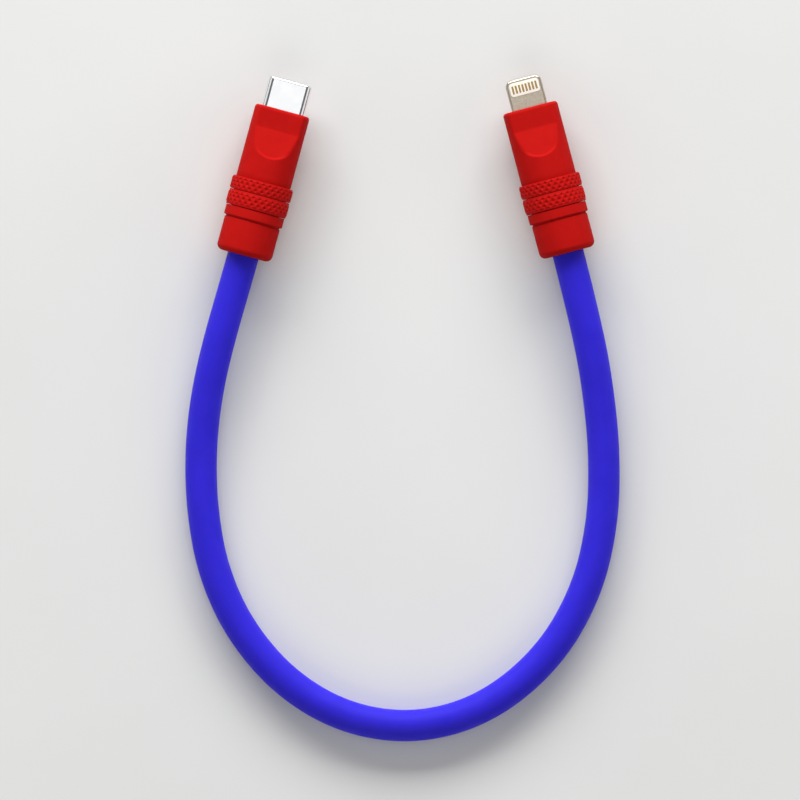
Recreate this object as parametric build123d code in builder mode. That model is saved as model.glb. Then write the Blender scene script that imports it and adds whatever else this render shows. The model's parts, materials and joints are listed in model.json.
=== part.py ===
from build123d import *

import os
from math import cos, pi, radians, sin, tan

# A short, thick charging cable that lies on a table in a loop. Its left end carries an oval
# 24-contact plug and its right end an 8-contact blade plug, in bodies of one and the same shape.
# Millimetres. +X is to the right, +Y to the plugs' noses, +Z up. The origin is on the table, in
# the middle of the box of the two plugs. A "station" is a distance behind a plug's front face,
# and what reaches out of that face has a negative one. Pairs such as SHELL are width and height.

# The plugs' places: the middle of the front face, and how far the nose leans, clockwise from +Y
OVAL_FRONT, OVAL_LEAN = (-22.55, 10.60), 15.2
BLADE_FRONT, BLADE_LEAN = (22.75, 11.15), -14.8

# Outside of a plug's body
BODY_RADIUS = 5.14
RING_RADIUS = 5.75
AXIS_HEIGHT = RING_RADIUS  # the knurled rings carry the plug
NOSE_LENGTH = 5.6  # of the metal that stands out of the front face
BAND_HEIGHT = 3.05  # of the flat bands above and below the nose, from the axis
BAND_END = 3.95  # from here to SLEEVE_END all are stations
REST_END, REST_HEIGHT = 9.15, 4.55  # where a thumb rest's sloping floor meets its upright wall
REST_RADIUS = 4.15  # of that wall's round end, seen from above
BODY_END = 13.7
FRONT_RING_END = 16.16
REAR_RING_START, REAR_RING_END = 16.24, 19.10
COLLAR_START, COLLAR_END = 19.18, 20.95
GROOVE_START, GROOVE_END = 21.1, 21.28
SLEEVE_START, SLEEVE_END = 21.45, 27.6
FRONT_ROUND = 0.6
CUT_MARGIN = 1  # that a cut reaches past the body
RING_BEVEL = 0.2
COLLAR_RADIUS = 5.5
SLEEVE_RADIUS = 5.22
SLEEVE_ROUND = 1.15
GROOVE_RADIUS = 5.05

# Hollows of a plug's body
FRONT_WALL = 0.8
CAVITY = (8.8, 3.1)
NECK_RADIUS = 4.95
NECK_BORE = 4.5
NECK_BORE_START = 10.5
CLEARANCE = 0.05

# Inside of both plugs
CAN = (8.6, 2.9)
CAN_WALL = 0.15
CAN_END = 12.2
MOULD_END = 17.2
SPIGOT_START = 17.3
FERRULE_START, FERRULE_END = 18.4, 24.4
FERRULE_RADIUS = 3.3
CRIMP_RADIUS, CRIMP_DEPTH, CRIMP_PITCH = 0.4, 0.15, 2.0
JACKET_START = 19.8
BOARD_START, BOARD_END = 3.1, 10.4
BOARD_THICKNESS = 0.6
CHIP_STATION = 5.9  # of the chip's middle
CHIP_LENGTH, CHIP_HEIGHT = 2.4, 0.7
SMALL_PART = (1.0, 0.5)  # width and length
SMALL_PART_HEIGHT = 0.5
SMALL_PART_PITCH = (1.5, 1.6)
BOARD_ROUND = 0.4
WIRE_TIP = 8.8
METAL_END = 3.0
CONTACT_THICKNESS = 0.12
CONTACT_TAIL_HEIGHT = (BOARD_THICKNESS + CONTACT_THICKNESS) / 2
TAIL_LAP = 0.9  # of the contacts' tails on the board

# Oval plug: shell, contact housing, contacts and latch
SHELL = (8.25, 2.4)
SHELL_WALL = 0.3
SHELL_ROLL = 0.28
HOUSING = (7.55, 1.7)
HOUSING_FRONT, HOUSING_END = -5.4, 2.0
MOUTH = (6.8, 0.8)
MOUTH_END = -0.8
OVAL_CONTACTS = 12
OVAL_PITCH = 0.5
OVAL_CONTACT_WIDTH = 0.24
ROOF_HEIGHT = 0.5  # of the contacts' middle line along the mouth's roof
GROOVE = (0.34, 0.32)
GROOVE_HEIGHT = 0.46
GROOVE_SETBACK = 0.4  # of the grooves' closed end from the housing's front
LATCH_REACH = 3.6
LATCH_THICKNESS, LATCH_HEIGHT = 0.25, 0.5
LATCH_ROOM = 0.15  # in the housing, more than the latch is thick or high
LATCH_BRIDGE = 0.7
LATCH_TIP = 4.4

# Blade plug: frame, contact block and contacts
BLADE = (6.7, 1.5)
BLADE_TIP_ROUND = 1.2
BLADE_EDGE_ROUND = 0.4
BLADE_BASE = (8.1, 2.4)
WINDOW = (5.6, 2.66)  # width and length
WINDOW_ROUND = 0.6
TIP_RIM = 0.5
TONGUE = (5.2, 0.9)
BLADE_CONTACTS = 8
BLADE_PITCH = 0.62
BLADE_CONTACT_WIDTH = 0.36
BLADE_CONTACT_LENGTH = 1.5
DETENT_RADIUS, DETENT_DEPTH, DETENT_HEIGHT = 0.5, 0.22, 0.8
DETENT_REACH = 1.6  # in front of the body

# Cable
CABLE_RADIUS = 2.9
JACKET_BORE = 2.1
BRAID_RADIUS, BRAID_BORE = 2.08, 1.92
EXIT_RUN = 1.2  # straight on from the sleeve
ARC_SHARE = 0.45  # of the shorter run beside a corner, taken by the corner's arc
# Of each wire: radius, and its place in the cable's section
POWER_WIRE = (0.42, -0.86, 0.82)
GROUND_WIRE = (0.42, 0.86, 0.82)
DATA_WIRES = ((0.35, -0.42, -0.8), (0.35, 0.42, -0.8))
CONTROL_WIRE = (0.35, 1.25, -0.8)
FILLER_CORD = (0.35, -1.25, -0.8)


class Plug:
    """A plug's place, with planes whose 0 is where its axis meets its front face."""

    def __init__(self, name, front, lean):
        turn = radians(lean)
        right = Vector(cos(turn), -sin(turn), 0)
        self.name = name
        self.nose = Vector(sin(turn), cos(turn), 0)
        self.origin = Vector(front[0], front[1], AXIS_HEIGHT)
        self.axis = Axis(self.origin, self.nose)
        # Seen from above, x to the right and y to the nose, and from the right, x to the nose
        self.top = Plane(self.origin, x_dir=right, z_dir=(0, 0, 1))
        self.side = Plane(self.origin, x_dir=self.nose, z_dir=right)
        # Seen from the nose's end, x to the right and y up, with extrusions toward the cable
        self.face = Plane(self.origin, x_dir=right, z_dir=self.nose * -1)

    def section(self, station):
        return self.face.offset(station)

    def on_axis(self, station):
        return tuple(self.origin - self.nose * station)

    def write(self, piece, name):
        write(piece, f"{self.name}_{name}")


def write(piece, name):
    piece.part.label = name
    export_step(piece.part, f"parts/{name}.step")


# ---------------------------------------------------------------- plug body, outside


def make_grip_shell(plug, mouth):
    """Barrel with a flat band and a thumb rest above and below, and a neck that takes the rings.

    mouth is the sketch that cuts the nose's way through the front wall.
    """
    neck_end = COLLAR_START - CLEARANCE
    clear_height = BODY_RADIUS + CUT_MARGIN
    with BuildPart() as rests:
        for up in (1, -1):
            with BuildSketch(plug.side):
                with BuildLine():
                    Polyline(
                        (-BAND_END, up * BAND_HEIGHT),
                        (-REST_END, up * REST_HEIGHT),
                        (-REST_END, up * clear_height),
                        (-BAND_END, up * clear_height),
                        close=True,
                    )
                make_face()
            extrude(amount=BODY_RADIUS, both=True)
        with BuildSketch(plug.top):
            with Locations((0, REST_RADIUS - REST_END)):
                Circle(REST_RADIUS)
                Rectangle(2 * REST_RADIUS, REST_RADIUS, align=(Align.CENTER, Align.MIN))
        extrude(amount=clear_height, both=True, mode=Mode.INTERSECT)
    with BuildPart() as shell:
        with BuildSketch(plug.top):
            with BuildLine():
                Polyline(
                    (0, 0),
                    (BODY_RADIUS, 0),
                    (BODY_RADIUS, -BODY_END),
                    (NECK_RADIUS, -BODY_END),
                    (NECK_RADIUS, -neck_end),
                    (0, -neck_end),
                    close=True,
                )
            make_face()
        revolve(axis=plug.axis)
        for up in (1, -1):
            with BuildSketch(plug.side):
                with BuildLine():
                    Polyline(
                        (CUT_MARGIN, up * BAND_HEIGHT),
                        (-BAND_END, up * BAND_HEIGHT),
                        (-BAND_END, up * clear_height),
                        (CUT_MARGIN, up * clear_height),
                        close=True,
                    )
                make_face()
            extrude(amount=BODY_RADIUS, both=True, mode=Mode.SUBTRACT)
        add(rests.part, mode=Mode.SUBTRACT)
        fillet(shell.faces().sort_by(plug.axis)[-1].edges(), radius=FRONT_ROUND)
        with BuildSketch(plug.section(FRONT_WALL)):
            SlotOverall(*CAVITY)
        extrude(amount=NECK_BORE_START - FRONT_WALL, mode=Mode.SUBTRACT)
        with BuildSketch(plug.section(NECK_BORE_START)):
            Circle(NECK_BORE)
        extrude(amount=COLLAR_START - NECK_BORE_START, mode=Mode.SUBTRACT)
        with BuildSketch(plug.face):
            mouth()
        extrude(amount=FRONT_WALL, mode=Mode.SUBTRACT)
    plug.write(shell, "grip_shell")


def oval_mouth():
    SlotOverall(SHELL[0] + 2 * CLEARANCE, SHELL[1] + 2 * CLEARANCE)


def blade_mouth():
    Rectangle(BLADE[0] + 2 * CLEARANCE, BLADE[1] + 2 * CLEARANCE)


def make_knurled_ring(plug, name, start, end):
    """Grip ring that slides onto the neck. Its outer radius is that of the knurl's crests."""
    with BuildPart() as ring:
        with BuildSketch(plug.section(start)):
            Circle(RING_RADIUS)
            Circle(NECK_RADIUS + CLEARANCE, mode=Mode.SUBTRACT)
        extrude(amount=end - start)
        rims = ring.edges().filter_by(GeomType.CIRCLE).group_by(SortBy.RADIUS)[-1]
        chamfer(rims, length=RING_BEVEL)
    plug.write(ring, name)


def make_rear_sleeve(plug):
    """Collar and strain relief in one, pressed into the neck by its spigot."""
    bore = CABLE_RADIUS + CLEARANCE
    ferrule_bore = FERRULE_RADIUS + CLEARANCE
    ferrule_stop = FERRULE_END + CLEARANCE
    spigot = NECK_BORE - CLEARANCE
    with BuildPart() as sleeve:
        with BuildSketch(plug.top):
            with BuildLine():
                Polyline(
                    (SLEEVE_RADIUS - SLEEVE_ROUND, -SLEEVE_END),
                    (bore, -SLEEVE_END),
                    (bore, -ferrule_stop),
                    (ferrule_bore, -ferrule_stop),
                    (ferrule_bore, -SPIGOT_START),
                    (spigot, -SPIGOT_START),
                    (spigot, -COLLAR_START),
                    (COLLAR_RADIUS, -COLLAR_START),
                    (COLLAR_RADIUS, -COLLAR_END),
                    (GROOVE_RADIUS, -GROOVE_START),
                    (GROOVE_RADIUS, -GROOVE_END),
                    (SLEEVE_RADIUS, -SLEEVE_START),
                    (SLEEVE_RADIUS, SLEEVE_ROUND - SLEEVE_END),
                )
                RadiusArc(
                    (SLEEVE_RADIUS, SLEEVE_ROUND - SLEEVE_END),
                    (SLEEVE_RADIUS - SLEEVE_ROUND, -SLEEVE_END),
                    SLEEVE_ROUND,
                )
            make_face()
        revolve(axis=plug.axis)
    plug.write(sleeve, "rear_sleeve")


# ---------------------------------------------------------------- plug body, inside


def make_inner_mould(plug):
    """Hard plastic around the back of the can, with a round way through for the wires."""
    start = NECK_BORE_START + CLEARANCE
    outside = NECK_BORE - CLEARANCE
    with BuildPart() as mould:
        with BuildSketch(plug.section(start)):
            Circle(outside)
            SlotOverall(CAN[0] + CLEARANCE, CAN[1] + CLEARANCE, mode=Mode.SUBTRACT)
        extrude(amount=CAN_END - start)
        with BuildSketch(plug.section(CAN_END)):
            Circle(outside)
            Circle(JACKET_BORE, mode=Mode.SUBTRACT)
        extrude(amount=MOULD_END - CAN_END)
    plug.write(mould, "inner_mould")


def make_shield_can(plug):
    """Drawn metal sleeve over the board and the back of the metal nose."""
    start = FRONT_WALL + CLEARANCE
    with BuildPart() as can:
        with BuildSketch(plug.section(start)):
            SlotOverall(*CAN)
            SlotOverall(CAN[0] - 2 * CAN_WALL, CAN[1] - 2 * CAN_WALL, mode=Mode.SUBTRACT)
        extrude(amount=CAN_END - start)
    plug.write(can, "shield_can")


def make_circuit_board(plug, width):
    with BuildPart() as board:
        with BuildSketch(plug.top):
            with Locations((0, -(BOARD_START + BOARD_END) / 2)):
                RectangleRounded(width, BOARD_END - BOARD_START, BOARD_ROUND)
        extrude(amount=BOARD_THICKNESS / 2, both=True)
    plug.write(board, "circuit_board")


def make_board_components(plug, chip_width, columns_below):
    """The chip on top of the board, and the resistors and capacitors under it."""
    with BuildPart() as components:
        with BuildSketch(plug.top.offset(BOARD_THICKNESS / 2)):
            with Locations((0, -CHIP_STATION)):
                Rectangle(chip_width, CHIP_LENGTH)
        extrude(amount=CHIP_HEIGHT)
        with BuildSketch(plug.top.offset(-BOARD_THICKNESS / 2)):
            with Locations((0, -CHIP_STATION)):
                with GridLocations(*SMALL_PART_PITCH, columns_below, 2):
                    Rectangle(*SMALL_PART)
        extrude(amount=-SMALL_PART_HEIGHT)
    plug.write(components, "board_components")


def make_wire_ends(plug, across_sign):
    """The wires between the jacket's end and their pads on the board."""
    with BuildPart() as wires:
        with BuildSketch(plug.section(WIRE_TIP)):
            for radius, across, up in (POWER_WIRE, GROUND_WIRE, *DATA_WIRES, CONTROL_WIRE):
                with Locations((across_sign * across, up)):
                    Circle(radius)
        extrude(amount=JACKET_START - WIRE_TIP)
    plug.write(wires, "wire_ends")


def make_crimp_ferrule(plug):
    """Metal tube with two rolled grooves, closed on the end of the cable's jacket."""
    groove_middle = FERRULE_RADIUS + CRIMP_RADIUS - CRIMP_DEPTH
    with BuildPart() as ferrule:
        with BuildSketch(plug.section(FERRULE_START)):
            Circle(FERRULE_RADIUS)
            Circle(CABLE_RADIUS + CLEARANCE / 2, mode=Mode.SUBTRACT)
        extrude(amount=FERRULE_END - FERRULE_START)
        with BuildSketch(plug.top):
            with Locations((groove_middle, -(FERRULE_START + FERRULE_END) / 2)):
                with GridLocations(0, CRIMP_PITCH, 1, 2):
                    Circle(CRIMP_RADIUS)
        revolve(axis=plug.axis, mode=Mode.SUBTRACT)
    plug.write(ferrule, "crimp_ferrule")


def make_contact_row(plug, name, line, up, count, pitch, width):
    """A row of bent contact strips. line is a strip's middle, seen from the right."""
    with BuildPart() as row:
        for number in range(count):
            across = (number - (count - 1) / 2) * pitch
            with BuildSketch(plug.side.offset(across)):
                with BuildLine():
                    Polyline(*[(x, up * y) for x, y in line])
                trace(line_width=CONTACT_THICKNESS)
            extrude(amount=width / 2, both=True)
    plug.write(row, name)
    return row


# ---------------------------------------------------------------- oval plug's nose


def oval_contact_line():
    """From the springy tip, along the roof of the mouth and down onto the board."""
    return [
        (4.7, 0.52),
        (4.3, 0.40),
        (3.9, 0.40),
        (3.5, ROOF_HEIGHT),
        (-HOUSING_END - 0.2, ROOF_HEIGHT),
        (-HOUSING_END - 0.5, CONTACT_TAIL_HEIGHT),
        (-BOARD_START - TAIL_LAP, CONTACT_TAIL_HEIGHT),
    ]


def make_oval_shell(plug):
    """Thin steel shell with round ends and its front edge rolled in."""
    with BuildPart() as shell:
        with BuildSketch(plug.section(-NOSE_LENGTH)):
            SlotOverall(*SHELL)
        extrude(amount=NOSE_LENGTH + METAL_END)
        fillet(shell.faces().sort_by(plug.axis)[-1].edges(), radius=SHELL_ROLL)
        with BuildSketch(plug.section(-NOSE_LENGTH)):
            SlotOverall(SHELL[0] - 2 * SHELL_WALL, SHELL[1] - 2 * SHELL_WALL)
        extrude(amount=NOSE_LENGTH + METAL_END, mode=Mode.SUBTRACT)
    plug.write(shell, "metal_shell")


def latch_line():
    """The latch's arms, and the bridge between them behind the mouth, seen from above."""
    return [
        (-LATCH_REACH, LATCH_TIP),
        (-LATCH_REACH, -LATCH_BRIDGE),
        (LATCH_REACH, -LATCH_BRIDGE),
        (LATCH_REACH, LATCH_TIP),
    ]


def make_latch_spring(plug):
    """The clip whose arms hold the plug in its socket."""
    with BuildPart() as latch:
        with BuildSketch(plug.top):
            with BuildLine():
                Polyline(*latch_line())
            trace(line_width=LATCH_THICKNESS)
        extrude(amount=LATCH_HEIGHT / 2, both=True)
    plug.write(latch, "latch_spring")


def make_contact_housing(plug):
    """Plastic block with the mouth for a socket's tongue, the contacts' grooves and a latch slot."""
    with BuildPart() as housing:
        with BuildSketch(plug.section(HOUSING_FRONT)):
            SlotOverall(*HOUSING)
        extrude(amount=HOUSING_END - HOUSING_FRONT)
        with BuildSketch(plug.section(HOUSING_FRONT)):
            Rectangle(*MOUTH)
        extrude(amount=MOUTH_END - HOUSING_FRONT, mode=Mode.SUBTRACT)
        with BuildSketch(plug.section(HOUSING_FRONT + GROOVE_SETBACK)):
            with GridLocations(OVAL_PITCH, 2 * GROOVE_HEIGHT, OVAL_CONTACTS, 2):
                Rectangle(*GROOVE)
        extrude(amount=HOUSING_END - HOUSING_FRONT, mode=Mode.SUBTRACT)
        with BuildSketch(plug.top):
            with BuildLine():
                Polyline(*latch_line())
            trace(line_width=LATCH_THICKNESS + LATCH_ROOM)
        extrude(amount=(LATCH_HEIGHT + LATCH_ROOM) / 2, both=True, mode=Mode.SUBTRACT)
    plug.write(housing, "contact_housing")


# ---------------------------------------------------------------- blade plug's nose


def blade_contact_line():
    """Along the blade's face, down into the block and back onto the board."""
    pad_height = BLADE[1] / 2 - CONTACT_THICKNESS / 2
    pad_front = NOSE_LENGTH - TIP_RIM - (WINDOW[1] - BLADE_CONTACT_LENGTH) / 2
    leg = pad_front - BLADE_CONTACT_LENGTH + CONTACT_THICKNESS / 2
    return [
        (pad_front, pad_height),
        (leg, pad_height),
        (leg, CONTACT_TAIL_HEIGHT),
        (-BOARD_START - TAIL_LAP, CONTACT_TAIL_HEIGHT),
    ]


def window_sketch(plug, gap):
    """The window in the blade, smaller all round by the gap."""
    with BuildSketch(plug.top) as window:
        with Locations((0, NOSE_LENGTH - TIP_RIM - WINDOW[1] / 2)):
            RectangleRounded(WINDOW[0] - 2 * gap, WINDOW[1] - 2 * gap, WINDOW_ROUND - gap)
    return window.sketch


def make_blade_frame(plug):
    """Flat metal blade with a window through it, a notch in each edge and a wider base."""
    length = NOSE_LENGTH + METAL_END
    window_back = TIP_RIM + WINDOW[1] - NOSE_LENGTH
    with BuildPart() as frame:
        with BuildSketch(plug.top) as outline:
            with Locations((0, NOSE_LENGTH - length / 2)):
                Rectangle(BLADE[0], length)
            fillet(outline.vertices().group_by(Axis.Y)[-1], radius=BLADE_TIP_ROUND)
        extrude(amount=BLADE[1] / 2, both=True)
        faces = frame.faces().sort_by(Axis.Z)
        fillet(faces[-1].edges() + faces[0].edges(), radius=BLADE_EDGE_ROUND)
        with BuildSketch(plug.section(FRONT_WALL + CLEARANCE)):
            SlotOverall(*BLADE_BASE)
        extrude(amount=METAL_END - FRONT_WALL - CLEARANCE)
        extrude(window_sketch(plug, 0), amount=BLADE[1], both=True, mode=Mode.SUBTRACT)
        with BuildSketch(plug.section(window_back - WINDOW_ROUND)):
            Rectangle(*TONGUE)
        extrude(amount=length, mode=Mode.SUBTRACT)
        with BuildSketch(plug.top):
            with Locations((0, DETENT_REACH)):
                with GridLocations(BLADE[0] + 2 * (DETENT_RADIUS - DETENT_DEPTH), 0, 2, 1):
                    Circle(DETENT_RADIUS)
        extrude(amount=DETENT_HEIGHT / 2, both=True, mode=Mode.SUBTRACT)
    plug.write(frame, "metal_frame")


def make_contact_block(plug, rows):
    """Plastic that fills the blade's window and holds the contacts, with a tongue to the board."""
    gap = CLEARANCE / 2
    window_back = TIP_RIM + WINDOW[1] - NOSE_LENGTH
    with BuildPart() as block:
        extrude(window_sketch(plug, gap), amount=BLADE[1] / 2, both=True)
        with BuildSketch(plug.section(window_back - WINDOW_ROUND)):
            Rectangle(TONGUE[0] - 2 * gap, TONGUE[1] - 2 * gap)
        extrude(amount=METAL_END - window_back + WINDOW_ROUND)
        for row in rows:
            add(row.part, mode=Mode.SUBTRACT)
    plug.write(block, "contact_block")


# ---------------------------------------------------------------- cable


def cable_route(start, end):
    """Corners of the cable's way: straight out of one plug, down onto the table, round and back."""
    rest = CABLE_RADIUS
    return [
        start.on_axis(JACKET_START),
        start.on_axis(SLEEVE_END + EXIT_RUN),
        (-34.5, -32.3, 5.2),
        (-36.7, -42.3, 3.9),
        (-37.7, -52.2, 3.05),
        (-37.4, -62.6, rest),
        (-35.4, -74.0, rest),
        (-30.4, -85.0, rest),
        (-21.8, -94.9, rest),
        (-10.5, -101.3, rest),
        (2.4, -102.9, rest),
        (15.1, -99.1, rest),
        (26.2, -89.9, rest),
        (33.2, -77.9, rest),
        (36.2, -65.1, rest),
        (36.5, -52.6, 3.05),
        (35.5, -42.1, 3.9),
        (33.9, -32.3, 5.2),
        end.on_axis(SLEEVE_END + EXIT_RUN),
        end.on_axis(JACKET_START),
    ]


def corner_radii(points):
    """Each corner's radius: its arc takes the same share of the shorter run beside it."""
    radii = []
    for before, corner, after in zip(points, points[1:], points[2:]):
        arriving = Vector(corner) - Vector(before)
        leaving = Vector(after) - Vector(corner)
        half_turn = radians(arriving.get_angle(leaving)) / 2
        radii.append(ARC_SHARE * min(arriving.length, leaving.length) / tan(half_turn))
    return radii


def make_tube(name, plug, path, radius, bore):
    with BuildPart() as tube:
        with BuildSketch(plug.section(JACKET_START)):
            Circle(radius)
            Circle(bore, mode=Mode.SUBTRACT)
        sweep(path=path)
    write(tube, name)
    return tube.part.volume / (pi * (radius**2 - bore**2) * path.length)


def make_wires(name, plug, path, wires):
    with BuildPart() as bundle:
        with BuildSketch(plug.section(JACKET_START)):
            for radius, across, up in wires:
                with Locations((across, up)):
                    Circle(radius)
        sweep(path=path)
    write(bundle, name)


def make_cable(start, end):
    points = cable_route(start, end)
    radii = corner_radii(points)
    with BuildLine() as route:
        FilletPolyline(*points, radius=radii)
    path = route.wire()
    fill = make_tube("cable_jacket", start, path, CABLE_RADIUS, JACKET_BORE)
    make_tube("cable_shield_braid", start, path, BRAID_RADIUS, BRAID_BORE)
    make_wires("cable_power_wire", start, path, [POWER_WIRE])
    make_wires("cable_ground_wire", start, path, [GROUND_WIRE])
    make_wires("cable_data_wires", start, path, DATA_WIRES)
    make_wires("cable_control_wire", start, path, [CONTROL_WIRE])
    make_wires("cable_filler_cord", start, path, [FILLER_CORD])
    print("corner radii:", [round(radius, 1) for radius in radii])
    print(f"cable length {path.length:.1f}, jacket volume over section times length {fill:.4f}")


# ---------------------------------------------------------------- the whole cable


def make_plug_body(plug, mouth, board_width, chip_width, columns_below, across_sign):
    make_grip_shell(plug, mouth)
    make_knurled_ring(plug, "front_knurled_ring", BODY_END, FRONT_RING_END)
    make_knurled_ring(plug, "rear_knurled_ring", REAR_RING_START, REAR_RING_END)
    make_rear_sleeve(plug)
    make_inner_mould(plug)
    make_shield_can(plug)
    make_circuit_board(plug, board_width)
    make_board_components(plug, chip_width, columns_below)
    make_wire_ends(plug, across_sign)
    make_crimp_ferrule(plug)


def make_oval_nose(plug):
    make_oval_shell(plug)
    make_latch_spring(plug)
    make_contact_housing(plug)
    row = (OVAL_CONTACTS, OVAL_PITCH, OVAL_CONTACT_WIDTH)
    make_contact_row(plug, "upper_contacts", oval_contact_line(), 1, *row)
    make_contact_row(plug, "lower_contacts", oval_contact_line(), -1, *row)


def make_blade_nose(plug):
    make_blade_frame(plug)
    row = (BLADE_CONTACTS, BLADE_PITCH, BLADE_CONTACT_WIDTH)
    upper = make_contact_row(plug, "upper_contacts", blade_contact_line(), 1, *row)
    lower = make_contact_row(plug, "lower_contacts", blade_contact_line(), -1, *row)
    make_contact_block(plug, (upper, lower))


os.makedirs("parts", exist_ok=True)
oval_plug = Plug("oval_plug", OVAL_FRONT, OVAL_LEAN)
blade_plug = Plug("blade_plug", BLADE_FRONT, BLADE_LEAN)
make_plug_body(oval_plug, oval_mouth, board_width=7.0, chip_width=2.6, columns_below=3, across_sign=1)
make_plug_body(blade_plug, blade_mouth, board_width=6.2, chip_width=3.4, columns_below=2, across_sign=-1)
make_oval_nose(oval_plug)
make_blade_nose(blade_plug)
make_cable(oval_plug, blade_plug)
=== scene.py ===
import json
from itertools import product
from math import cos, pi, radians, sin

import bmesh
import bpy
import numpy as np
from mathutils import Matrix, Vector


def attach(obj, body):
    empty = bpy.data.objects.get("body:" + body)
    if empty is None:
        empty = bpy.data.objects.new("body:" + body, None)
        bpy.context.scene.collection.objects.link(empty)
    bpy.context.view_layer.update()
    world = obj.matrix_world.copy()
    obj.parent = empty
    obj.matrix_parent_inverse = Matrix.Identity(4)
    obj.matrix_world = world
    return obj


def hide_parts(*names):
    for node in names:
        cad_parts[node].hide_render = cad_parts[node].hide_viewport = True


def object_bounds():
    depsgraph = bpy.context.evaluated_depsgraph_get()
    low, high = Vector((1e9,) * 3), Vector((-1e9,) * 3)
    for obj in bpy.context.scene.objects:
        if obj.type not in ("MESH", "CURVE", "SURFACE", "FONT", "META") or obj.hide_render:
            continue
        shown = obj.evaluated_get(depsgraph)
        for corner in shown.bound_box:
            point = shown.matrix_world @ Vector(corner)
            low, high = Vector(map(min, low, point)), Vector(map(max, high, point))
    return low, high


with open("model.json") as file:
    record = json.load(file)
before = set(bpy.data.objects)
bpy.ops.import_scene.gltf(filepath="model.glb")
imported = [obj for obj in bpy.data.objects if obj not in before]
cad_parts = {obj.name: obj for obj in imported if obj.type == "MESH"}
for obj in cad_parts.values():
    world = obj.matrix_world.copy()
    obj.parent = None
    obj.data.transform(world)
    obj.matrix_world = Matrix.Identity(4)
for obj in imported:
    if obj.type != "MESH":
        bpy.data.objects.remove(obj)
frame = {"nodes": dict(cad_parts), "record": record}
cad_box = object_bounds()

# The looks of a short, thick charging cable that lies on a table in a loop: soft red plug bodies
# with knurled rings, a matt blue silicone cable, a plated oval nose and a flat blade nose.
# Every piece is in metres in the CAD model's frame. The plugs' own sizes are in millimetres, as
# in the CAD model: a "station" is a distance behind a plug's front face, and what reaches out of
# that face has a negative one. Pairs such as SHELL are width and height.
MM = 0.001

# Camera: straight above the loop, from far away. In metres, and the lens in millimetres
VIEW_WIDTH = 0.1468
LENS, SENSOR = 1000, 36
FRAMING = (-0.00046, 0.00152)  # of the picture's middle, from the middle of the object's box

# Outside of a plug's body
BODY_RADIUS = 5.14
RING_RADIUS = 5.75
BAND_HEIGHT = 3.05
BAND_END = 3.95
REST_END, REST_HEIGHT = 9.15, 4.55  # where a thumb rest's sloping floor meets its upright wall
REST_RADIUS = 4.15  # of that wall's round end, seen from above
BODY_END = 13.7
FRONT_RING = (13.7, 16.16)
REAR_RING = (16.24, 19.10)
COLLAR_START, COLLAR_END = 19.18, 20.95
GROOVE_START, GROOVE_END = 21.1, 21.28
SLEEVE_START, SLEEVE_END = 21.45, 27.6
FRONT_ROUND = 0.6
COLLAR_RADIUS = 5.5
GROOVE_RADIUS = 5.05
SLEEVE_RADIUS = 5.22
SLEEVE_ROUND = 1.15
SLEEVE_FRONT_ROUND = 0.2
COLLAR_BACK_ROUND = 0.15
GROOVE_ROUND = 0.08
SOFT_EDGE = 0.3  # reach of the rounding where the bands and thumb rests meet the barrel
WALL_ROUND = 0.3  # the same at the foot of a thumb rest's wall
WALL_REACH = 1.65  # how far in front of a thumb rest's end its mesh gets finer
SMALL_ROUND = 0.1
ROUND_MIDDLE = 0.3  # how far a rounding's middle stands back, as a share of its radius

# Hollows of a plug's body
CLEARANCE = 0.05
FRONT_WALL = 0.8
CAVITY = (8.8, 3.1)
NECK_RADIUS = 4.95
NECK_BORE = 4.5
NECK_BORE_START = 10.5
SPIGOT_START = 17.3
CABLE_BORE = 2.95
CABLE_BORE_ROUND = 0.15
FERRULE_BORE, FERRULE_STOP = 3.35, 24.45
MOUTH_ROUND = 0.08
BLADE_MOUTH_CORNER = 0.15

# Knurl: ridges along two crossing helices, with a pit in each diamond between them
KNURL_COUNT = 29  # diamonds round a ring
KNURL_PITCH = 1.4  # a diamond's length along the axis
KNURL_SAMPLES = 16  # mesh steps across and along a diamond
KNURL_ROWS = 12  # mesh steps from a ring's middle to the knurl's end
KNURL_DEPTH = 0.25
KNURL_CREST = 0.22  # flat top of the ridges, as a share of half a diamond
RIM_RADIUS = 5.64
RIM_FADE = 2  # mesh steps from the rim to the knurl's full depth

# Oval plug's metal shell
SHELL = (8.25, 2.4)
SHELL_WALL = 0.3
NOSE_LENGTH = 5.6
METAL_END = 3.0
LIP_ROUND, LIP_DEPTH = 0.42, 0.15
LIP_BEVEL, LIP_SLOPE = 0.04, 0.06

# Blade plug's contact block and contacts
BLADE = (6.7, 1.5)
WINDOW = (5.6, 2.66)  # width and length
WINDOW_ROUND = 0.6
TIP_RIM = 0.5
BLOCK_GAP = 0.03
BLOCK_DROP = 0.01  # of the block's top below the blade's face
BLOCK_ROUND = 0.1
TONGUE = (5.2, 0.9)
BLADE_CONTACTS = 8
BLADE_PITCH = 0.62
CONTACT_WIDTH, CONTACT_LENGTH, CONTACT_THICKNESS = 0.36, 1.5, 0.12
CONTACT_RISE = 0.03
CONTACT_ROUND = 0.13
TAIL_LENGTH = 0.9  # of a contact along the board
BOARD_START, BOARD_THICKNESS = 3.1, 0.6

# Meshes: steps round a plug's axis, and the angle in degrees past which an edge stays sharp
GRIP_SIDES, SLEEVE_SIDES = 384, 288
CREASE, KNURL_CREASE = 35, 50
SOLVER_STEPS = 28  # each halves the range in which a radius is looked for

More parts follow.
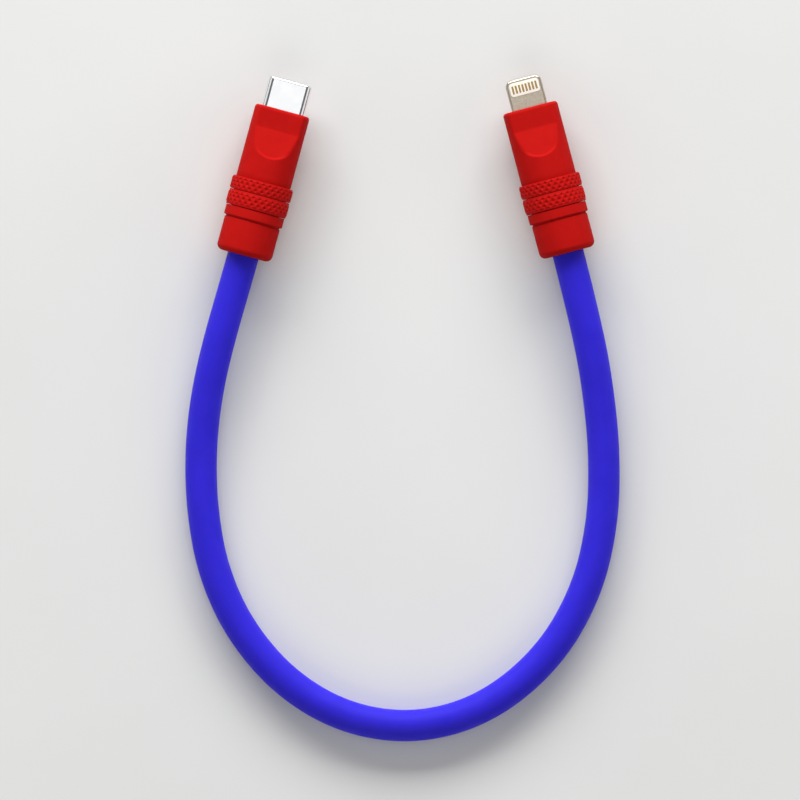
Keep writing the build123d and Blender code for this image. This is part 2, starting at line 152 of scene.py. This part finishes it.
# Surfaces and light. A softbox is its azimuth and elevation in degrees, its distance and size
# in metres and its brightness
NOISE_RANGE = (0.3, 0.7)  # that most of a noise texture lies in
SKY_TONE, SKY_BRIGHTNESS = (0.96, 0.98, 1.0), 0.12
SOFTBOXES = {
    "overhead": (0, 90, 1.7, (0.75, 0.75), 1.0),
    "key": (-3, 28, 1.3, (1.6, 0.6), 9.5),
    "left_fill": (-90, 27, 1.3, (1.2, 0.8), 0.75),
    "right_fill": (90, 27, 1.3, (1.2, 0.8), 0.75),
    "rear_fill": (180, 42, 1.3, (1.2, 0.9), 1.2),
}
FLOOR_HALF = 4.0  # half of its side, in metres

# Cable, in metres
CABLE_RADIUS = 0.0029
JACKET_START = 19.8  # this and the next are stations, in millimetres
EXIT_STATION = SLEEVE_END + 1.2
REST = CABLE_RADIUS  # height of the cable's middle where it lies on the table
# Corners of the route between the two plugs, as in the CAD model
ROUTE = [
    (-0.0345, -0.0323, 0.0052),
    (-0.0367, -0.0423, 0.0039),
    (-0.0377, -0.0522, 0.00305),
    (-0.0374, -0.0626, REST),
    (-0.0354, -0.0740, REST),
    (-0.0304, -0.0850, REST),
    (-0.0218, -0.0949, REST),
    (-0.0105, -0.1013, REST),
    (0.0024, -0.1029, REST),
    (0.0151, -0.0991, REST),
    (0.0262, -0.0899, REST),
    (0.0332, -0.0779, REST),
    (0.0362, -0.0651, REST),
    (0.0365, -0.0526, 0.00305),
    (0.0355, -0.0421, 0.0039),
    (0.0339, -0.0323, 0.0052),
]


# ---------------------------------------------------------------- places and meshes


class Plug:
    """A plug's place, from the record's mount on its nose.

    Its own coordinates are millimetres to the right, toward the nose and up, from the middle
    of its front face.
    """

    def __init__(self, name, mount):
        self.name = name
        self.origin = Vector(mount["pos_m"])
        self.nose = Vector(mount["axis"]).normalized()
        self.up = Vector((0, 0, 1))
        self.right = self.nose.cross(self.up)

    def place(self, points):
        axes = np.array([self.right, self.nose, self.up]) * MM
        return np.asarray(points) @ axes + np.array(self.origin)

    def on_axis(self, station):
        return tuple(self.origin - self.nose * station * MM)


def add_piece(name, points, faces, material, node, crease=CREASE):
    """A mesh piece that stands for a CAD node."""
    mesh = bpy.data.meshes.new(name)
    mesh.from_pydata([tuple(point) for point in points], [], faces)
    shape = bmesh.new()
    shape.from_mesh(mesh)
    bmesh.ops.recalc_face_normals(shape, faces=shape.faces)
    shape.to_mesh(mesh)
    shape.free()
    mesh.shade_smooth()
    mesh.set_sharp_from_angle(angle=radians(crease))
    mesh.materials.append(material)
    piece = bpy.data.objects.new(name, mesh)
    bpy.context.scene.collection.objects.link(piece)
    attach(piece, "root")
    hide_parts(node)
    return piece


def turns(sides):
    return np.arange(sides) * 2 * pi / sides


def polar_points(loops, sides):
    """Points of loops round a plug's axis. A loop is its radius at each angle and its station."""
    turn = turns(sides)
    points = []
    for radius, station in loops:
        radius = np.broadcast_to(radius, turn.shape)
        along = np.full(sides, -float(station))
        points.append(np.stack([radius * np.cos(turn), along, radius * np.sin(turn)], axis=1))
    return np.concatenate(points)


def skin_faces(loops, sides, split=None):
    """Faces between each loop and the next, the last joined to the first.

    split says how to cut the quad at a loop and a side: 0 not at all, 1 or -1 along the
    diagonal that rises or falls.
    """
    faces = []
    for loop in range(loops):
        after = (loop + 1) % loops
        for side in range(sides):
            beside = (side + 1) % sides
            a, b = loop * sides + side, loop * sides + beside
            c, d = after * sides + beside, after * sides + side
            way = split(loop, side) if split else 0
            if way == 1:
                faces += [(a, b, c), (a, c, d)]
            elif way == -1:
                faces += [(a, b, d), (b, c, d)]
            else:
                faces.append((a, b, c, d))
    return faces


def rounded_profile(corners, steps):
    """Points of a closed outline. A corner is its two coordinates and the radius that rounds it."""
    points = []
    neighbours = zip(corners[-1:] + corners[:-1], corners, corners[1:] + corners[:1])
    for before, corner, after in neighbours:
        here = Vector(corner[:2])
        back = (Vector(before[:2]) - here).normalized()
        ahead = (Vector(after[:2]) - here).normalized()
        if not corner[2]:
            points.append(tuple(here))
            continue
        half = back.angle(ahead) / 2
        centre = here + (back + ahead).normalized() * corner[2] / sin(half)
        reach = corner[2] * cos(half) / sin(half)
        first, last = here + back * reach - centre, here + ahead * reach - centre
        for step in range(steps + 1):
            spoke = first.lerp(last, step / steps).normalized() * corner[2]
            points.append(tuple(centre + spoke))
    return points


def quarter_round(radius, steps):
    """How far the points of a rounded edge stand back, from the side to the front."""
    points = []
    for step in range(steps + 1):
        turn = radians(90) * step / steps
        points.append((radius * (1 - cos(turn)), radius * (1 - sin(turn))))
    return points


def smooth_max(a, b, reach):
    """The larger of two distances, with their crossing rounded over that reach."""
    overlap = np.maximum(reach - np.abs(a - b), 0) / reach
    return np.maximum(a, b) + overlap**2 * reach / 4


def solve_radius(distance, sides, most):
    """The radius at each angle at which a signed distance is 0."""
    low, high = np.zeros(sides), np.full(sides, float(most))
    for _ in range(SOLVER_STEPS):
        middle = (low + high) / 2
        outside = distance(middle) > 0
        low, high = np.where(outside, low, middle), np.where(outside, middle, high)
    return low


# ---------------------------------------------------------------- red plug bodies


def grip_radius(station, inset, sides):
    """Outer radius of the body at each angle, with its whole outline smaller by the inset."""
    turn = turns(sides)
    steepness = np.abs(np.sin(turn))
    slope = (REST_HEIGHT - BAND_HEIGHT) / (REST_END - BAND_END)
    half_height = BAND_HEIGHT + slope * max(0, station - BAND_END) - inset
    barrel = BODY_RADIUS - inset
    # Distance outside the wall round the thumb rest. Its last term widens the rest toward the
    # front, so that the flat band has no wall
    across = BODY_RADIUS * np.cos(turn)
    behind = station - (REST_END - REST_RADIUS)
    outside = np.hypot(across, max(0, behind)) - REST_RADIUS + 2 * min(0, behind)

    def distance(radius):
        solid = smooth_max(half_height - radius * steepness, outside, WALL_ROUND)
        return smooth_max(radius - barrel, -solid, SOFT_EDGE)

    return solve_radius(distance, sides, BODY_RADIUS)


def slot_radius(half_width, half_height, corner, sides):
    """Radius at each angle of a box with rounded corners, or of a slot with round ends."""
    turn = turns(sides)
    across, up = np.abs(np.cos(turn)), np.abs(np.sin(turn))

    def distance(radius):
        x = radius * across - (half_width - corner)
        y = radius * up - (half_height - corner)
        past_corner = np.hypot(np.maximum(x, 0), np.maximum(y, 0))
        return past_corner + np.minimum(np.maximum(x, y), 0) - corner

    return solve_radius(distance, sides, half_width + half_height)


def make_grip_shell(plug, mouth, material):
    """The barrel with its bands and thumb rests, its neck and its hollows, as one skin.

    mouth gives the half sizes and corner radius of the way through the front wall.
    """
    sides = GRIP_SIDES
    front = reversed(quarter_round(FRONT_ROUND, 8))
    loops = [(grip_radius(station, inset, sides), station) for inset, station in front]
    wall_start = REST_END - WALL_REACH
    stations = [
        *np.linspace(FRONT_ROUND, BAND_END, 14)[1:],
        *np.linspace(BAND_END, wall_start, 32)[1:],
        *np.linspace(wall_start, REST_END + SOFT_EDGE, 48)[1:],
        11.0,
        12.5,
        BODY_END - SMALL_ROUND,
    ]
    loops += [(grip_radius(station, 0, sides), station) for station in stations]
    set_back = SMALL_ROUND * ROUND_MIDDLE
    loops += [
        (BODY_RADIUS - set_back, BODY_END - set_back),
        (BODY_RADIUS - SMALL_ROUND, BODY_END),
        (NECK_RADIUS, BODY_END),
        (NECK_RADIUS, COLLAR_START - CLEARANCE),
        (NECK_BORE, COLLAR_START - CLEARANCE),
        (NECK_BORE, NECK_BORE_START),
    ]
    width, height, corner = mouth
    cavity = slot_radius(CAVITY[0] / 2, CAVITY[1] / 2, CAVITY[1] / 2, sides)
    opening, half_way, lip = (
        slot_radius(width + wider, height + wider, corner + wider, sides)
        for wider in (0, MOUTH_ROUND * ROUND_MIDDLE, MOUTH_ROUND)
    )
    loops += [
        (cavity, NECK_BORE_START),
        (cavity, FRONT_WALL),
        (opening, FRONT_WALL),
        (opening, MOUTH_ROUND),
        (half_way, MOUTH_ROUND * ROUND_MIDDLE),
        (lip, 0),
    ]
    points = plug.place(polar_points(loops, sides))
    faces = skin_faces(len(loops), sides)
    name = f"{plug.name}_grip_shell"
    add_piece(f"{name}_soft", points, faces, material, name)


def make_knurled_ring(plug, which, ends, material):
    """A ring whose skin follows the crossing ridges, with a narrow plain rim at each end."""
    start, end = ends
    sides = KNURL_COUNT * KNURL_SAMPLES
    middle = (start + end) / 2
    across = np.arange(sides) / KNURL_SAMPLES

    def from_ridge(place):
        return 1 - np.abs(2 * (place % 1) - 1)

    loops = []
    for row in range(-KNURL_ROWS, KNURL_ROWS + 1):
        along = row / KNURL_SAMPLES
        nearest = np.minimum(from_ridge(across + along), from_ridge(across - along))
        fall = np.maximum(nearest - KNURL_CREST, 0) / (1 - KNURL_CREST)
        pit = KNURL_DEPTH * fall * fall * (3 - 2 * fall)
        share = min(1, (KNURL_ROWS - abs(row)) / RIM_FADE)
        radius = RIM_RADIUS + (RING_RADIUS - pit - RIM_RADIUS) * share
        loops.append((radius, middle + along * KNURL_PITCH))
    knurl_loops = len(loops)
    set_back = SMALL_ROUND * ROUND_MIDDLE
    loops += [
        (RIM_RADIUS, end - SMALL_ROUND),
        (RIM_RADIUS - set_back, end - set_back),
        (RIM_RADIUS - SMALL_ROUND, end),
        (NECK_RADIUS + CLEARANCE, end),
        (NECK_RADIUS + CLEARANCE, start),
        (RIM_RADIUS - SMALL_ROUND, start),
        (RIM_RADIUS - set_back, start + set_back),
        (RIM_RADIUS, start + SMALL_ROUND),
    ]

    def along_ridge(loop, side):
        """Cuts a quad of the knurl along the ridge that crosses it."""
        if loop >= knurl_loops - 1:
            return 0
        row = loop - KNURL_ROWS
        return -1 if (side + 1 + row) % KNURL_SAMPLES == 0 else 1

    points = plug.place(polar_points(loops, sides))
    faces = skin_faces(len(loops), sides, along_ridge)
    name = f"{plug.name}_{which}_knurled_ring"
    add_piece(f"{name}_cut", points, faces, material, name, KNURL_CREASE)


def make_rear_sleeve(plug, material):
    """Collar, groove and strain relief in one, with the spigot that sits in the neck."""
    spigot = NECK_BORE - CLEARANCE
    profile = rounded_profile(
        [
            (spigot, SPIGOT_START, 0),
            (spigot, COLLAR_START, 0),
            (COLLAR_RADIUS, COLLAR_START, SMALL_ROUND),
            (COLLAR_RADIUS, COLLAR_END, COLLAR_BACK_ROUND),
            (GROOVE_RADIUS, GROOVE_START, GROOVE_ROUND),
            (GROOVE_RADIUS, GROOVE_END, GROOVE_ROUND),
            (SLEEVE_RADIUS, SLEEVE_START, SLEEVE_FRONT_ROUND),
            (SLEEVE_RADIUS, SLEEVE_END, SLEEVE_ROUND),
            (CABLE_BORE, SLEEVE_END, CABLE_BORE_ROUND),
            (CABLE_BORE, FERRULE_STOP, 0),
            (FERRULE_BORE, FERRULE_STOP, 0),
            (FERRULE_BORE, SPIGOT_START, 0),
        ],
        steps=8,
    )
    points = plug.place(polar_points(profile, SLEEVE_SIDES))
    faces = skin_faces(len(profile), SLEEVE_SIDES)
    name = f"{plug.name}_rear_sleeve"
    add_piece(f"{name}_soft", points, faces, material, name)


# ---------------------------------------------------------------- metal noses


def slot_outline(width, height, corner, arc_steps, flat_steps):
    """Points and outward directions round a box with rounded corners, evenly along each part."""
    outline = []
    half_width, half_height = width / 2 - corner, height / 2 - corner
    centres = [
        (half_width, half_height),
        (-half_width, half_height),
        (-half_width, -half_height),
        (half_width, -half_height),
    ]
    for quarter, (x, y) in enumerate(centres):
        for step in range(arc_steps + 1):
            turn = radians(90) * (quarter + step / arc_steps)
            facing = (cos(turn), sin(turn))
            outline.append(((x + corner * facing[0], y + corner * facing[1]), facing))
        if quarter % 2 == 0:
            (start, facing), next_x = outline[-1], -x
            for step in range(1, flat_steps):
                place = start[0] + (next_x - x) * step / flat_steps
                outline.append(((place, start[1]), facing))
    return outline


def make_oval_shell(plug, material):
    """Drawn shell with its front edge rolled in."""
    outline = slot_outline(*SHELL, SHELL[1] / 2, arc_steps=24, flat_steps=24)
    front = -NOSE_LENGTH
    profile = [(0, station) for station in (METAL_END, 1.5, -2.0)]
    profile += [(inset, front + behind) for inset, behind in quarter_round(LIP_ROUND, 16)]
    profile += [
        (LIP_ROUND + LIP_BEVEL, front + LIP_BEVEL),
        (LIP_ROUND + LIP_BEVEL, front + LIP_DEPTH),
        (SHELL_WALL, front + LIP_DEPTH + LIP_SLOPE),
        (SHELL_WALL, METAL_END),
    ]
    points = []
    for inset, station in profile:
        for (x, y), (over, up) in outline:
            points.append((x - over * inset, -station, y - up * inset))
    faces = skin_faces(len(profile), len(outline))
    name = f"{plug.name}_metal_shell"
    add_piece(f"{name}_drawn", plug.place(points), faces, material, name)


def box_mesh(low, high):
    """Corners and faces of a block between two corners."""
    corners = list(product(*zip(low, high)))
    faces = [(0, 1, 3, 2), (4, 6, 7, 5), (0, 4, 5, 1), (2, 3, 7, 6), (0, 2, 6, 4), (1, 5, 7, 3)]
    return corners, faces


def make_contact_block(plug, material):
    """The moulded block in the blade's window, with a tongue that runs back to the board."""
    window_middle = NOSE_LENGTH - TIP_RIM - WINDOW[1] / 2
    size = (WINDOW[0] - 2 * BLOCK_GAP, WINDOW[1] - 2 * BLOCK_GAP)
    outline = slot_outline(*size, WINDOW_ROUND - BLOCK_GAP, arc_steps=12, flat_steps=12)
    top = BLADE[1] / 2 - BLOCK_DROP
    edge = reversed(quarter_round(BLOCK_ROUND, 5))
    profile = [(inset, top - below) for inset, below in edge]
    profile += [(inset, -height) for inset, height in reversed(profile)]
    points = []
    for inset, height in profile:
        for (x, y), (over, along) in outline:
            points.append((x - over * inset, window_middle + y - along * inset, height))
    sides = len(outline)
    faces = skin_faces(len(profile), sides)[: (len(profile) - 1) * sides]
    faces.append(tuple(range(sides)))
    faces.append(tuple(range((len(profile) - 1) * sides, len(profile) * sides)))
    window_back = NOSE_LENGTH - TIP_RIM - WINDOW[1]
    half_width, half_height = TONGUE[0] / 2 - BLOCK_GAP, TONGUE[1] / 2 - BLOCK_GAP
    corners, sheets = box_mesh(
        (-half_width, -METAL_END, -half_height),
        (half_width, window_back + WINDOW_ROUND, half_height),
    )
    faces += [tuple(corner + len(points) for corner in sheet) for sheet in sheets]
    name = f"{plug.name}_contact_block"
    points = plug.place(points + corners)
    add_piece(f"{name}_moulded", points, faces, material, name)


def strip_sides(line, thickness):
    """Outline of a bent strip, from the line along its middle, with mitred bends."""
    left, right = [], []
    for index, here in enumerate(line):
        here = Vector(here)
        before = Vector(line[index - 1]) if index else None
        after = Vector(line[index + 1]) if index + 1 < len(line) else None
        arriving = (here - before).normalized() if before else None
        leaving = (after - here).normalized() if after else None
        arriving, leaving = arriving or leaving, leaving or arriving
        sideways = Vector((-arriving.y - leaving.y, arriving.x + leaving.x)).normalized()
        square = Vector((-arriving.y, arriving.x))
        offset = sideways * (thickness / 2 / sideways.dot(square))
        left.append(here + offset)
        right.append(here - offset)
    return left + right[::-1]


def make_blade_contacts(plug, which, up, material):
    """A row of strips: a pad on the blade's face, a leg down into the block and a solder tail."""
    pad_height = BLADE[1] / 2 + CONTACT_RISE - CONTACT_THICKNESS / 2
    pad_front = NOSE_LENGTH - TIP_RIM - (WINDOW[1] - CONTACT_LENGTH) / 2
    leg = pad_front - CONTACT_LENGTH + CONTACT_THICKNESS / 2
    tail_height = (BOARD_THICKNESS + CONTACT_THICKNESS) / 2
    tail_end = -BOARD_START - TAIL_LENGTH
    line = [
        (pad_front, pad_height),
        (leg, pad_height),
        (leg, tail_height),
        (tail_end, tail_height),
    ]
    outline = strip_sides(line, CONTACT_THICKNESS)
    name = f"{plug.name}_{which}_contacts"
    points, faces = [], []
    for number in range(BLADE_CONTACTS):
        middle = (number - (BLADE_CONTACTS - 1) / 2) * BLADE_PITCH
        first = len(points)
        for side in (-CONTACT_WIDTH / 2, CONTACT_WIDTH / 2):
            points += [(middle + side, corner.x, up * corner.y) for corner in outline]
        count = len(outline)
        faces.append(tuple(range(first, first + count)))
        faces.append(tuple(range(first + count, first + 2 * count)))
        for index in range(count):
            after = (index + 1) % count
            faces.append(
                (first + index, first + after, first + count + after, first + count + index)
            )
    piece = add_piece(f"{name}_pads", plug.place(points), faces, material, name)
    soften = piece.modifiers.new("soft_edges", "BEVEL")
    soften.width = CONTACT_ROUND * MM
    soften.segments = 4
    soften.limit_method = "ANGLE"
    soften.angle_limit = radians(40)


# ---------------------------------------------------------------- cable


def make_cable(start, end, material):
    """The silicone jacket: one smooth line from inside one plug to inside the other."""
    route = [start.on_axis(JACKET_START), start.on_axis(EXIT_STATION), *ROUTE]
    route += [end.on_axis(EXIT_STATION), end.on_axis(JACKET_START)]
    curve = bpy.data.curves.new("cable_jacket_silicone", "CURVE")
    curve.dimensions = "3D"
    line = curve.splines.new("NURBS")
    line.points.add(len(route) - 1)
    for point, place in zip(line.points, route):
        point.co = (*place, 1)
    line.order_u = 3
    line.use_endpoint_u = True
    line.resolution_u = 16
    curve.bevel_depth = CABLE_RADIUS
    curve.bevel_resolution = 14
    curve.use_fill_caps = True
    curve.materials.append(material)
    cable = bpy.data.objects.new("cable_jacket_silicone", curve)
    bpy.context.scene.collection.objects.link(cable)
    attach(cable, "root")
    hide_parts("cable_jacket")
    start.on_axis(SLEEVE_END)


# ---------------------------------------------------------------- materials


def make_material(
    name,
    tones,
    roughness,
    grain=0.08,
    grain_depth=0.004,
    patch=2.0,
    metallic=0.0,
    specular=0.5,
    milky=0.0,
):
    """A surface whose colour wanders between two tones, with a fine grain.

    tones are its two linear colours, and roughness its least and most. In millimetres, patch is
    the size of its patches of colour, grain and grain_depth the size and height of its bumps, and
    milky how far light wanders inside it.
    """
    material = bpy.data.materials.new(name)
    material.use_nodes = True
    nodes, links = material.node_tree.nodes, material.node_tree.links
    shader = nodes["Principled BSDF"]
    shader.inputs["Metallic"].default_value = metallic
    shader.inputs["Specular IOR Level"].default_value = specular
    shader.inputs["Subsurface Weight"].default_value = 1.0 if milky else 0.0
    shader.inputs["Subsurface Radius"].default_value = (1, 1, 1)
    shader.inputs["Subsurface Scale"].default_value = milky * MM
    place = nodes.new("ShaderNodeTexCoord").outputs["Object"]

    patches = nodes.new("ShaderNodeTexNoise")
    patches.inputs["Scale"].default_value = 1 / (patch * MM)
    patches.inputs["Detail"].default_value = 4
    colour = nodes.new("ShaderNodeValToRGB")
    for stop, position, tone in zip(colour.color_ramp.elements, NOISE_RANGE, tones):
        stop.position, stop.color = position, (*tone, 1)
    links.new(place, patches.inputs["Vector"])
    links.new(patches.outputs["Fac"], colour.inputs["Fac"])
    links.new(colour.outputs["Color"], shader.inputs["Base Color"])

    bumps = nodes.new("ShaderNodeTexNoise")
    bumps.inputs["Scale"].default_value = 1 / (grain * MM)
    bumps.inputs["Detail"].default_value = 3
    links.new(place, bumps.inputs["Vector"])
    gloss = nodes.new("ShaderNodeMapRange")
    for end, noise, rough in zip(("Min", "Max"), NOISE_RANGE, roughness):
        gloss.inputs[f"From {end}"].default_value = noise
        gloss.inputs[f"To {end}"].default_value = rough
    links.new(bumps.outputs["Fac"], gloss.inputs["Value"])
    links.new(gloss.outputs["Result"], shader.inputs["Roughness"])
    relief = nodes.new("ShaderNodeBump")
    relief.inputs["Distance"].default_value = grain_depth * MM
    links.new(bumps.outputs["Fac"], relief.inputs["Height"])
    links.new(relief.outputs["Normal"], shader.inputs["Normal"])
    return material


def make_materials():
    """Every surface, by the record's material slot."""
    return {
        "red_grip": make_material(
            "soft_red_grip", ((0.455, 0.0070, 0.0058), (0.485, 0.0080, 0.0066)), (0.52, 0.64),
            grain=0.14, grain_depth=0.01, specular=0.02,
        ),
        "red_ring": make_material(
            "soft_red_ring", ((0.455, 0.0066, 0.0054), (0.485, 0.0076, 0.0062)), (0.46, 0.58),
            grain=0.1, grain_depth=0.005, specular=0.03,
        ),
        "red_sleeve": make_material(
            "soft_red_sleeve", ((0.445, 0.0070, 0.0058), (0.475, 0.0080, 0.0066)), (0.52, 0.64),
            grain=0.14, grain_depth=0.01, specular=0.02,
        ),
        "blue_silicone": make_material(
            "matt_blue_silicone", ((0.031, 0.019, 0.605), (0.036, 0.022, 0.65)), (0.5, 0.64),
            grain=0.14, grain_depth=0.01, patch=5.0, specular=0.12, milky=2.5,
        ),
        "plated_steel": make_material(
            "plated_steel", ((0.86, 0.87, 0.88), (0.93, 0.93, 0.94)), (0.12, 0.2), metallic=1.0,
            grain=0.12, grain_depth=0.0006,
        ),
        "blade_metal": make_material(
            "blasted_blade_metal", ((0.50, 0.43, 0.34), (0.72, 0.64, 0.52)), (0.26, 0.36),
            metallic=1.0, grain=0.05, grain_depth=0.002, patch=0.2,
        ),
        "gold_plate": make_material(
            "gold_plate", ((0.42, 0.28, 0.10), (0.54, 0.37, 0.15)), (0.22, 0.32), metallic=1.0,
            grain=0.06, grain_depth=0.001, patch=0.5,
        ),
        "white_plastic": make_material(
            "white_contact_plastic", ((0.90, 0.86, 0.77), (0.94, 0.90, 0.81)), (0.35, 0.45),
            grain_depth=0.001,
        ),
        "black_plastic": make_material(
            "black_contact_plastic", ((0.012, 0.012, 0.013), (0.02, 0.02, 0.022)), (0.4, 0.5)
        ),
        "spring_steel": make_material(
            "spring_steel", ((0.5, 0.5, 0.52), (0.6, 0.6, 0.62)), (0.25, 0.35), metallic=1.0,
            grain_depth=0.001,
        ),
        "natural_plastic": make_material(
            "natural_plastic", ((0.62, 0.58, 0.48), (0.7, 0.66, 0.56)), (0.4, 0.5)
        ),
        "tin_plate": make_material(
            "tin_plate", ((0.55, 0.55, 0.54), (0.66, 0.66, 0.65)), (0.28, 0.4), metallic=1.0,
            grain_depth=0.001,
        ),
        "board_laminate": make_material(
            "board_laminate", ((0.01, 0.09, 0.035), (0.015, 0.14, 0.05)), (0.3, 0.42), patch=0.4
        ),
        "black_ceramic": make_material(
            "black_ceramic", ((0.02, 0.02, 0.02), (0.04, 0.038, 0.036)), (0.45, 0.6)
        ),
        "wire_insulation": make_material(
            "wire_insulation", ((0.5, 0.5, 0.48), (0.6, 0.6, 0.58)), (0.35, 0.45)
        ),
        "ferrule_metal": make_material(
            "ferrule_metal", ((0.42, 0.3, 0.09), (0.52, 0.38, 0.13)), (0.3, 0.4), metallic=1.0,
            grain_depth=0.001,
        ),
        "tinned_braid": make_material(
            "tinned_braid", ((0.4, 0.4, 0.4), (0.7, 0.7, 0.69)), (0.3, 0.45), metallic=1.0,
            grain_depth=0.02, patch=0.3,
        ),
        "power_insulation": make_material(
            "power_insulation", ((0.5, 0.02, 0.015), (0.58, 0.03, 0.02)), (0.35, 0.45)
        ),
        "ground_insulation": make_material(
            "ground_insulation", ((0.015, 0.015, 0.015), (0.03, 0.03, 0.03)), (0.35, 0.45)
        ),
        "data_insulation": make_material(
            "data_insulation", ((0.6, 0.6, 0.58), (0.7, 0.7, 0.68)), (0.35, 0.45)
        ),
        "control_insulation": make_material(
            "control_insulation", ((0.01, 0.04, 0.33), (0.015, 0.05, 0.38)), (0.35, 0.45)
        ),
        "filler_yarn": make_material(
            "filler_yarn", ((0.55, 0.52, 0.46), (0.66, 0.63, 0.56)), (0.7, 0.85), grain_depth=0.02
        ),
    }


def dress_frame(materials):
    """Gives each CAD node that stays the procedural material of its slot."""
    for node in frame["nodes"].values():
        for place in node.material_slots:
            slot = place.material.name.split(".")[0]
            place.material = materials[slot]


# ---------------------------------------------------------------- camera, floor and lights


def make_camera(middle):
    data = bpy.data.cameras.new("camera")
    data.lens, data.sensor_width = LENS, SENSOR
    camera = bpy.data.objects.new("camera", data)
    height = VIEW_WIDTH * LENS / SENSOR
    camera.location = (middle.x + FRAMING[0], middle.y + FRAMING[1], middle.z + height)
    bpy.context.scene.collection.objects.link(camera)
    bpy.context.scene.camera = camera


def make_softbox(name, target, azimuth, elevation, distance, size, brightness):
    """A panel that faces the target. Azimuth is clockwise from +Y, seen from above."""
    data = bpy.data.lights.new(name, "AREA")
    data.shape = "RECTANGLE"
    data.size, data.size_y = size
    data.energy = brightness * pi * size[0] * size[1]
    turn, rise = radians(azimuth), radians(elevation)
    direction = Vector((sin(turn) * cos(rise), cos(turn) * cos(rise), sin(rise)))
    lamp = bpy.data.objects.new(name, data)
    lamp.location = target + direction * distance
    lamp.rotation_euler = direction.to_track_quat("Z", "Y").to_euler()
    lamp.visible_camera = False
    bpy.context.scene.collection.objects.link(lamp)


def make_studio(middle):
    """A pale sky and soft light from all sides, with most of it from the noses' side."""
    world = bpy.data.worlds.new("studio")
    world.use_nodes = True
    sky = world.node_tree.nodes["Background"]
    sky.inputs["Color"].default_value = (*SKY_TONE, 1)
    sky.inputs["Strength"].default_value = SKY_BRIGHTNESS
    bpy.context.scene.world = world
    for name, placing in SOFTBOXES.items():
        make_softbox(name, middle, *placing)
    bpy.context.scene.view_settings.view_transform = "Standard"


def make_floor(material):
    far = FLOOR_HALF
    mesh = bpy.data.meshes.new("floor")
    corners = [(-far, -far, 0), (far, -far, 0), (far, far, 0), (-far, far, 0)]
    mesh.from_pydata(corners, [], [(0, 1, 2, 3)])
    mesh.materials.append(material)
    floor = bpy.data.objects.new("floor", mesh)
    bpy.context.scene.collection.objects.link(floor)


# ---------------------------------------------------------------- the whole cable


middle = (cad_box[0] + cad_box[1]) / 2
make_camera(middle)
mounts = {mount["name"]: mount for mount in frame["record"]["mounts"]}
oval_plug = Plug("oval_plug", mounts["oval_nose"])
blade_plug = Plug("blade_plug", mounts["blade_nose"])
materials = make_materials()
make_cable(oval_plug, blade_plug, materials["blue_silicone"])
make_floor(
    make_material(
        "pale_floor", ((0.73, 0.73, 0.72), (0.76, 0.76, 0.75)), (0.8, 0.9), patch=60.0, specular=0.1
    )
)
make_studio(middle)

oval_mouth = (SHELL[0] / 2 + CLEARANCE, SHELL[1] / 2 + CLEARANCE, SHELL[1] / 2 + CLEARANCE)
blade_mouth = (BLADE[0] / 2 + CLEARANCE, BLADE[1] / 2 + CLEARANCE, BLADE_MOUTH_CORNER)
for plug, mouth in ((oval_plug, oval_mouth), (blade_plug, blade_mouth)):
    make_grip_shell(plug, mouth, materials["red_grip"])
    make_knurled_ring(plug, "front", FRONT_RING, materials["red_ring"])
    make_knurled_ring(plug, "rear", REAR_RING, materials["red_ring"])
    make_rear_sleeve(plug, materials["red_sleeve"])
make_oval_shell(oval_plug, materials["plated_steel"])
make_contact_block(blade_plug, materials["white_plastic"])
make_blade_contacts(blade_plug, "upper", 1, materials["gold_plate"])
make_blade_contacts(blade_plug, "lower", -1, materials["gold_plate"])
dress_frame(materials)
